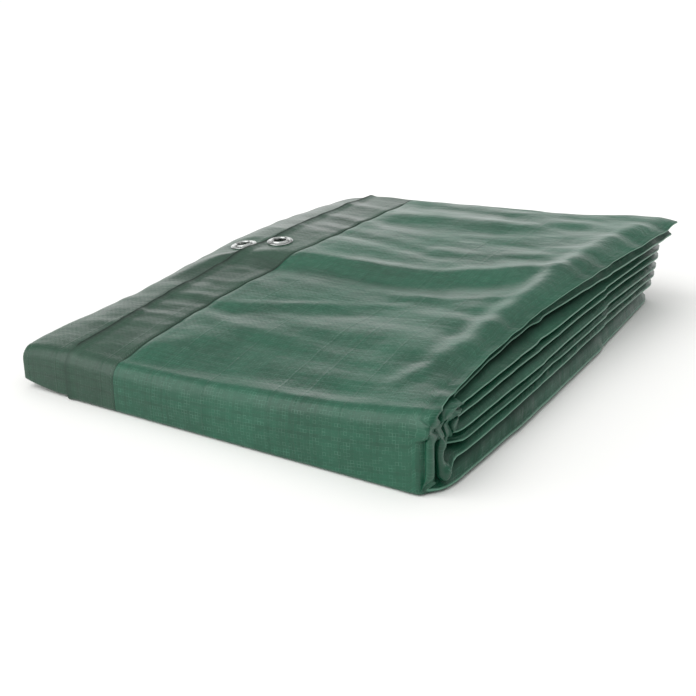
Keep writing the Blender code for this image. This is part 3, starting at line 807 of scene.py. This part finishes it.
def punch_hole(strip, eyelet):
    bpy.ops.object.select_all(action="DESELECT")
    bpy.ops.mesh.primitive_cylinder_add(
        vertices=PUNCH_STEPS, radius=PUNCH_RADIUS * MM, depth=PUNCH_DEPTH * MM
    )
    cutter = bpy.context.object
    cutter.matrix_world = eyelet
    cut = strip.modifiers.new("Eyelet hole", "BOOLEAN")
    cut.object = cutter
    cut.solver = "EXACT"
    finish_mesh(strip, PUNCHED_SHARP)
    bpy.data.objects.remove(cutter)


seam = seam_line()
hem_edge = edge_line(HEM_EDGE_ROWS)
under_edge = edge_line(UNDER_EDGE_ROWS)
# The same weave two layers thick and pressed by sewing: greyer, darker and a little duller than the cloth.
hem_finish = woven_poly("doubled hem weave", "#103424", "#1C4431", "#5A7F6A", 0.37)
HEMS = (
    # which, its two edges, how far in it lies, painted light of its first two columns and of its last:
    # painted shadow on the upper hem's free edge and seam, paler on the lower hem's outer edge
    ("upper", hem_edge, seam - LAYER_GAP, upper_inset, (-1.0, -0.45, -0.6)),
    ("lower", under_edge, np.full(len(PATH), UNDER_TUCK_X), under_inset, (0.5, 0.1, 0.0)),
)
PAINTED_LIGHT_ON_TOP, PAINTED_LIGHT_ON_APRON = 1.0, 0.35

# Painted shadow along the upper hem's free edge and at its seam, weaker on the apron.
painted_light_share = np.where(KIND == "upper", PAINTED_LIGHT_ON_TOP, PAINTED_LIGHT_ON_APRON)
for which, start, end, inset, (first, second, last) in HEMS:
    eyelet = eyelet_frame("eyelet_" + which)
    columns = strip_columns(start, end, inset)
    painted_light = np.outer(painted_light_share, [first, second] + [0.0] * (HEM_PLACES - 3) + [last])
    strip = sheet_mesh(
        "hem_band_" + which, columns, painted_light, SHEET_THICKNESS, lambda grid: pressed_flat(grid, eyelet)
    )
    punch_hole(strip, eyelet)
    strip.data.materials.clear()
    strip.data.materials.append(hem_finish)
    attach(strip, "root")
    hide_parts("hem_" + which)

# The eyelets: aluminium rings of 25 mm with a 12 mm hole. Each is pressed from sheet with a raised roll round
# its hole, put through the hem, and clenched over the washer beneath, which stays the frame's own solid.
EYELET_PROFILE = (
    # radius, height above the hem
    (6.0, -3.4), (6.0, 0.9), (6.2, 1.7), (6.8, 2.2), (7.5, 2.35), (8.2, 2.1), (8.8, 1.4), (9.4, 1.0),
    (10.8, 0.95), (11.8, 0.85), (12.3, 0.5), (12.4, 0.15), (12.0, -0.05), (7.0, 0.0), (6.6, -0.4),
    (6.6, -2.8), (7.3, -3.1), (8.1, -3.2), (8.2, -3.7), (7.0, -3.8),
)
EYELET_STEPS = 72
EYELET_SHARP = 40.0
MERGE_DISTANCE = 0.00001


def turned_ring(name, profile, steps):
    """A ring drawn out from its first circle, one extrusion for each step of its profile, and closed."""
    bpy.ops.object.select_all(action="DESELECT")
    radius, height = profile[0]
    bpy.ops.mesh.primitive_circle_add(vertices=steps, radius=radius * MM, location=(0, 0, height * MM))
    ring = bpy.context.object
    ring.name = name
    bpy.ops.object.transform_apply(location=True, rotation=False, scale=False)
    bpy.ops.object.mode_set(mode="EDIT")
    bpy.ops.mesh.select_all(action="SELECT")
    for (r0, z0), (r1, z1) in zip(profile, profile[1:] + profile[:1]):
        bpy.ops.mesh.extrude_region_move(TRANSFORM_OT_translate={"value": (0, 0, (z1 - z0) * MM)})
        bpy.ops.transform.resize(value=(r1 / r0, r1 / r0, 1.0), center_override=(0, 0, z1 * MM))
    bpy.ops.mesh.select_all(action="SELECT")
    bpy.ops.mesh.remove_doubles(threshold=MERGE_DISTANCE)
    bpy.ops.mesh.normals_make_consistent(inside=False)
    bpy.ops.object.mode_set(mode="OBJECT")
    round_off = ring.modifiers.new("Rounded", "SUBSURF")
    round_off.levels = round_off.render_levels = 1
    finish_mesh(ring, EYELET_SHARP)
    return ring


# Pressed aluminium, tumbled to a soft shine: cool silver that takes the white room, with duller stains about
# 8 mm apart and fine scuffs about 2 mm apart on the roll.
STAINS_PER_METRE = 130.0
SCUFFS_PER_METRE = 420.0
SCUFF_RELIEF = 0.0002
SCUFF_STRENGTH = 0.25
SHINY, SCUFFED = 0.18, 0.38


def pressed_aluminium():
    made = bpy.data.materials.new("pressed aluminium")
    made.use_nodes = True
    tree = made.node_tree
    shader = tree.nodes["Principled BSDF"]
    place = fit(tree, "ShaderNodeTexCoord", {})
    on_metal = {"Vector": (place, "Object")}
    scuffs = fit(tree, "ShaderNodeTexNoise", {"Scale": SCUFFS_PER_METRE, "Detail": 4.0}, on_metal)
    stains = fit(tree, "ShaderNodeTexNoise", {"Scale": STAINS_PER_METRE, "Detail": 2.0}, on_metal)
    silver = {"data_type": "RGBA", 6: linear("#8F9391"), 7: linear("#CBCECB")}
    colour = fit(tree, "ShaderNodeMix", silver, {0: (stains, 0)})
    rough = fit(tree, "ShaderNodeMapRange", {1: 0.3, 2: 0.7, 3: SHINY, 4: SCUFFED}, {0: (scuffs, 0)})
    shallow = {"Strength": SCUFF_STRENGTH, "Distance": SCUFF_RELIEF}
    bump = fit(tree, "ShaderNodeBump", shallow, {"Height": (scuffs, 0)})
    tree.links.new(colour.outputs[2], shader.inputs["Base Color"])
    tree.links.new(rough.outputs[0], shader.inputs["Roughness"])
    tree.links.new(bump.outputs[0], shader.inputs["Normal"])
    shader.inputs["Metallic"].default_value = 1.0
    return made


aluminium = pressed_aluminium()
for which in ("upper", "lower"):
    ring = turned_ring("eyelet_ring_" + which, EYELET_PROFILE, EYELET_STEPS)
    ring.data.transform(eyelet_frame("eyelet_" + which))
    ring.data.materials.append(aluminium)
    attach(ring, "root")
    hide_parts("eyelet_" + which)
    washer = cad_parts["washer_" + which]
    washer.data.materials.clear()
    washer.data.materials.append(aluminium)

# The sewing: slanted stitches in a green twine, through the seam and through the lower hem near its outer
# edge. Each stitch is a short length of twine that dips into the cloth at both ends.
STITCH_LENGTH = 2.9
STITCH_PITCH = 2.6
STITCH_THICKNESS = 0.4
STITCH_SINK = 0.1
STITCH_SLANT = math.radians(35.0)
STITCH_SHARP = 60.0
STITCH_SIDES, STITCH_RINGS = 8, 6


def one_stitch():
    """One stitch along Y, round, and thinner where it goes into the cloth."""
    bpy.ops.object.select_all(action="DESELECT")
    bpy.ops.mesh.primitive_uv_sphere_add(
        segments=STITCH_SIDES, ring_count=STITCH_RINGS, radius=STITCH_LENGTH / 2 * MM
    )
    stitch = bpy.context.object
    narrow = STITCH_THICKNESS / STITCH_LENGTH
    bpy.ops.object.mode_set(mode="EDIT")
    bpy.ops.mesh.select_all(action="SELECT")
    bpy.ops.transform.resize(value=(narrow, narrow, 1.0), center_override=(0, 0, 0))
    bpy.ops.transform.rotate(value=QUARTER, orient_axis="X", center_override=(0, 0, 0))
    bpy.ops.object.mode_set(mode="OBJECT")
    return stitch


def sewn_line(name, line, inset, finish):
    """Stitches laid end to end along a line on the top ply's path, and joined as one piece."""
    along, height, out_along, out_up = on_path(0, line, inset)
    route = settle(np.stack([line, along, height], 1))
    out = np.stack([np.zeros_like(line), out_along, out_up], 1)
    lengths = np.concatenate([[0.0], np.cumsum(np.linalg.norm(np.diff(route, axis=0), axis=1))])
    lift = SHEET_THICKNESS / 2 + STITCH_THICKNESS / 2 - STITCH_SINK
    pattern = one_stitch()
    joined = bmesh.new()
    for start in np.arange(STITCH_PITCH, lengths[-1] - STITCH_PITCH, STITCH_PITCH):
        ends = [
            np.array([np.interp(at, lengths, route[:, axis]) for axis in range(3)])
            for at in (start - STITCH_LENGTH / 2, start + STITCH_LENGTH / 2)
        ]
        normal = Vector([np.interp(start, lengths, out[:, axis]) for axis in range(3)]).normalized()
        run = Vector(ends[1] - ends[0]).normalized()
        side = run.cross(normal).normalized()
        middle = Vector((ends[0] + ends[1]) / 2) + normal * lift
        middle.z = max(middle.z, STITCH_THICKNESS)
        place = (middle - Vector((OUTLINE_MIDDLE[0], OUTLINE_MIDDLE[1], 0.0))) * MM
        turned = Matrix((side, run, side.cross(run))).transposed().to_4x4()
        turned = turned @ Matrix.Rotation(STITCH_SLANT, 4, "Z")
        copy = pattern.data.copy()
        copy.transform(Matrix.Translation(place) @ turned)
        joined.from_mesh(copy)
        bpy.data.meshes.remove(copy)
    bpy.data.objects.remove(pattern)
    data = bpy.data.meshes.new(name)
    joined.to_mesh(data)
    joined.free()
    made = bpy.data.objects.new(name, data)
    bpy.context.scene.collection.objects.link(made)
    finish_mesh(made, STITCH_SHARP)
    data.materials.append(finish)
    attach(made, "root")
    return made


# Polyester sewing twine, dyed green: a little paler than the cloth and without its sheen, with light and dark
# turns about 1.4 mm apart.
TWINE_TURNS_PER_METRE = 700.0
TWINE_ROUGHNESS = 0.6
twine = bpy.data.materials.new("green polyester twine")
twine.use_nodes = True
twine_shader = twine.node_tree.nodes["Principled BSDF"]
twine_place = fit(twine.node_tree, "ShaderNodeTexCoord", {})
twine_ply = fit(
    twine.node_tree, "ShaderNodeTexNoise", {"Scale": TWINE_TURNS_PER_METRE, "Detail": 2.0},
    {"Vector": (twine_place, "Object")},
)
twine_tone = fit(
    twine.node_tree, "ShaderNodeMix", {"data_type": "RGBA", 6: linear("#2C4A3A"), 7: linear("#5F7F6A")},
    {0: (twine_ply, 0)},
)
twine.node_tree.links.new(twine_tone.outputs[2], twine_shader.inputs["Base Color"])
twine_shader.inputs["Roughness"].default_value = TWINE_ROUGHNESS

SEAM_ROW_IN = 2.4
OUTER_ROW_IN = 5.0
seam_row = seam - SEAM_ROW_IN
outer_row = under_edge + OUTER_ROW_IN
sewn_line("seam_stitches", seam_row, upper_inset(seam_row), twine)
sewn_line("outer_stitches", outer_row, under_inset(outer_row), twine)

# The stage: a white floor that runs out past the picture, and a white room that is bright along its foot and
# overhead and dim between, so that only cloth seen at a low angle takes a pale sheen.
FLOOR_SIZE = 24.0
PAPER_ROUGHNESS, PAPER_SPECULAR = 0.9, 0.1
bpy.ops.object.select_all(action="DESELECT")
bpy.ops.mesh.primitive_plane_add(size=FLOOR_SIZE)
floor = bpy.context.object
floor.name = "floor"
# Seamless studio paper: nearly white and matt, with almost no shine.
paper = bpy.data.materials.new("white paper floor")
paper.use_nodes = True
paper_shader = paper.node_tree.nodes["Principled BSDF"]
paper_shader.inputs["Base Color"].default_value = linear("#F6F6F4")
paper_shader.inputs["Roughness"].default_value = PAPER_ROUGHNESS
paper_shader.inputs["Specular IOR Level"].default_value = PAPER_SPECULAR
floor.data.materials.append(paper)

# How bright the room is in a direction, by how far up it points: its foot, the dim part and overhead.
FOOT_LIGHT, DIM_LIGHT, ROOF_LIGHT = 1.05, 0.26, 1.0
FOOT_FADE, ROOF_FADE = (0.12, 0.32), (0.58, 0.78)
world = bpy.data.worlds.new("white room")
bpy.context.scene.world = world
world.use_nodes = True
sky = world.node_tree
direction = fit(sky, "ShaderNodeTexCoord", {})
parts = fit(sky, "ShaderNodeSeparateXYZ", {}, {0: (direction, "Generated")})
foot_fade = {1: FOOT_FADE[0], 2: FOOT_FADE[1], 3: FOOT_LIGHT, 4: DIM_LIGHT}
roof_fade = {1: ROOF_FADE[0], 2: ROOF_FADE[1], 3: DIM_LIGHT, 4: ROOF_LIGHT}
wall_light = fit(sky, "ShaderNodeMapRange", foot_fade, {0: (parts, 2)})
roof_light = fit(sky, "ShaderNodeMapRange", roof_fade, {0: (parts, 2)})
level = fit(sky, "ShaderNodeMath", {"operation": "MAXIMUM"}, {0: (wall_light, 0), 1: (roof_light, 0)})
sky.links.new(level.outputs[0], sky.nodes["Background"].inputs["Strength"])
sky.nodes["Background"].inputs["Color"].default_value = (1.0, 1.0, 1.0, 1.0)

# One very wide, far lamp stands in for the studio's front softbox, so the floor is as bright far off as near
# by. A low, wide softbox stands behind the packet, and the back of the packet's top mirrors it.
LAMP_FROM = Vector((-0.45, -0.9, 0.8))
LAMP_WIDTH = math.radians(70.0)
LAMP_STRENGTH = 2.3
bpy.ops.object.light_add(type="SUN")
lamp = bpy.context.object
lamp.name = "wide soft light"
lamp.data.angle = LAMP_WIDTH
lamp.data.energy = LAMP_STRENGTH
lamp.rotation_euler = LAMP_FROM.to_track_quat("Z", "Y").to_euler()
BACK_BOX_PLACE = Vector((-0.45, 0.78, 0.25))
BACK_BOX_WIDTH, BACK_BOX_HEIGHT = 1.8, 0.32
BACK_BOX_WATTS = 2.2
bpy.ops.object.light_add(type="AREA", location=BACK_BOX_PLACE)
back_box = bpy.context.object
back_box.name = "back softbox"
back_box.data.shape = "RECTANGLE"
back_box.data.size = BACK_BOX_WIDTH
back_box.data.size_y = BACK_BOX_HEIGHT
back_box.data.energy = BACK_BOX_WATTS
facing = Vector((BACK_BOX_PLACE.x, BACK_BOX_PLACE.y, 0.0))
back_box.rotation_euler = facing.to_track_quat("Z", "Y").to_euler()

# The camera, as fitted to the packet's corners: to the right of its front and a little above it.
AZIMUTH, ELEVATION = math.radians(31.81), math.radians(20.41)
CAMERA_DISTANCE = 1.0381
AIM_RIGHT, AIM_UP = -0.0187, -0.0048
LENS, SENSOR_WIDTH = 60.65, 36.0
backwards = Vector((
    math.sin(AZIMUTH) * math.cos(ELEVATION), -math.cos(AZIMUTH) * math.cos(ELEVATION), math.sin(ELEVATION),
))
rightwards = Vector((math.cos(AZIMUTH), math.sin(AZIMUTH), 0.0))
upwards = backwards.cross(rightwards)
apron_middle = Vector((-OUTLINE_MIDDLE[0], PACKET_LENGTH / 2 - OUTLINE_MIDDLE[1], 0.0)) * MM
target = rightwards * AIM_RIGHT + upwards * AIM_UP + apron_middle
bpy.ops.object.camera_add()
camera = bpy.context.object
camera.data.lens = LENS
camera.data.sensor_width = SENSOR_WIDTH
view_frame = Matrix((rightwards, upwards, backwards)).transposed().to_4x4()
view_frame.translation = target + backwards * CAMERA_DISTANCE
camera.matrix_world = view_frame
scene = bpy.context.scene
scene.camera = camera
scene.view_settings.view_transform = "Standard"
